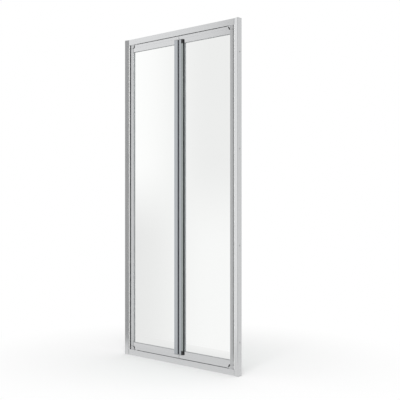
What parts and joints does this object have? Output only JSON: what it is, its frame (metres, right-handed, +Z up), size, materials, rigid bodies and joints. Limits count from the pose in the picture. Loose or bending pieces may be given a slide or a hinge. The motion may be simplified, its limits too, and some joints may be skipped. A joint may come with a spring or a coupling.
{
  "type": "saloon shower door",
  "caption": "Framed shower door whose glass leaves swing both ways on pivots at the jambs and meet in the middle, with a full-height finger pull.",
  "frame": {"origin": "under the middle of the sill rail, on the face that it is bedded on", "axes": "+Z up, -Y the outside of the shower, X along the width with +X to the right seen from outside"},
  "size_m": [0.86, 0.0348, 1.85],
  "materials": {
    "silver_aluminium": "bright silver, softly polished",
    "satin_aluminium": "satin silver anodised, a little cooler",
    "pull_aluminium": "satin anodised, darker and a little green",
    "clear_glass": "clear toughened glass",
    "dark_seal": "dark grey flexible seal",
    "grey_gasket": "mid grey flexible gasket",
    "grey_plastic": "grey moulded plastic",
    "black_plastic": "black moulded plastic",
    "steel": "plain stainless steel"
  },
  "bodies": {
    "frame": {"wall_channel_left": "silver_aluminium", "wall_channel_right": "silver_aluminium", "jamb_left": "silver_aluminium", "jamb_right": "silver_aluminium", "head_rail": "silver_aluminium", "sill_rail": "silver_aluminium", "top_caps": "grey_plastic", "frame_keys": "black_plastic", "frame_screws": "steel", "adjusting_screws_left": "steel", "adjusting_screws_right": "steel", "hinge_seal_left": "dark_seal", "hinge_seal_right": "dark_seal", "pivot_block_top_left": "grey_plastic", "pivot_block_top_right": "grey_plastic", "pivot_block_bottom_left": "grey_plastic", "pivot_block_bottom_right": "grey_plastic", "pivot_pins": "steel", "thrust_washers": "black_plastic", "block_screws": "steel"},
    "leaf_left": {"hinge_stile_left": "silver_aluminium", "meeting_stile_left": "satin_aluminium", "top_rail_left": "silver_aluminium", "bottom_rail_left": "silver_aluminium", "glass_left": "clear_glass", "gaskets_left": "grey_gasket", "magnetic_seal_left": "dark_seal", "wiper_strips_left": "dark_seal", "pivot_bushes_left": "black_plastic", "corner_keys_left": "black_plastic", "corner_screws_left": "steel"},
    "leaf_right": {"hinge_stile_right": "silver_aluminium", "meeting_stile_right": "satin_aluminium", "top_rail_right": "silver_aluminium", "bottom_rail_right": "silver_aluminium", "glass_right": "clear_glass", "gaskets_right": "grey_gasket", "magnetic_seal_right": "dark_seal", "wiper_strips_right": "dark_seal", "pivot_bushes_right": "black_plastic", "corner_keys_right": "black_plastic", "corner_screws_right": "steel", "finger_pull": "pull_aluminium", "finger_pull_liner": "black_plastic", "finger_pull_caps": "black_plastic"}
  },
  "joints": [
    {"name": "leaf_left_swing", "type": "hinge", "parent": "frame", "child": "leaf_left", "pos_m": [-0.3865, 0.005, 0.0425], "axis": [0, 0, 1], "range_deg": [-90, 90]},
    {"name": "leaf_right_swing", "type": "hinge", "parent": "frame", "child": "leaf_right", "pos_m": [0.3865, 0.005, 0.0425], "axis": [0, 0, 1], "range_deg": [-90, 90]}
  ]
}
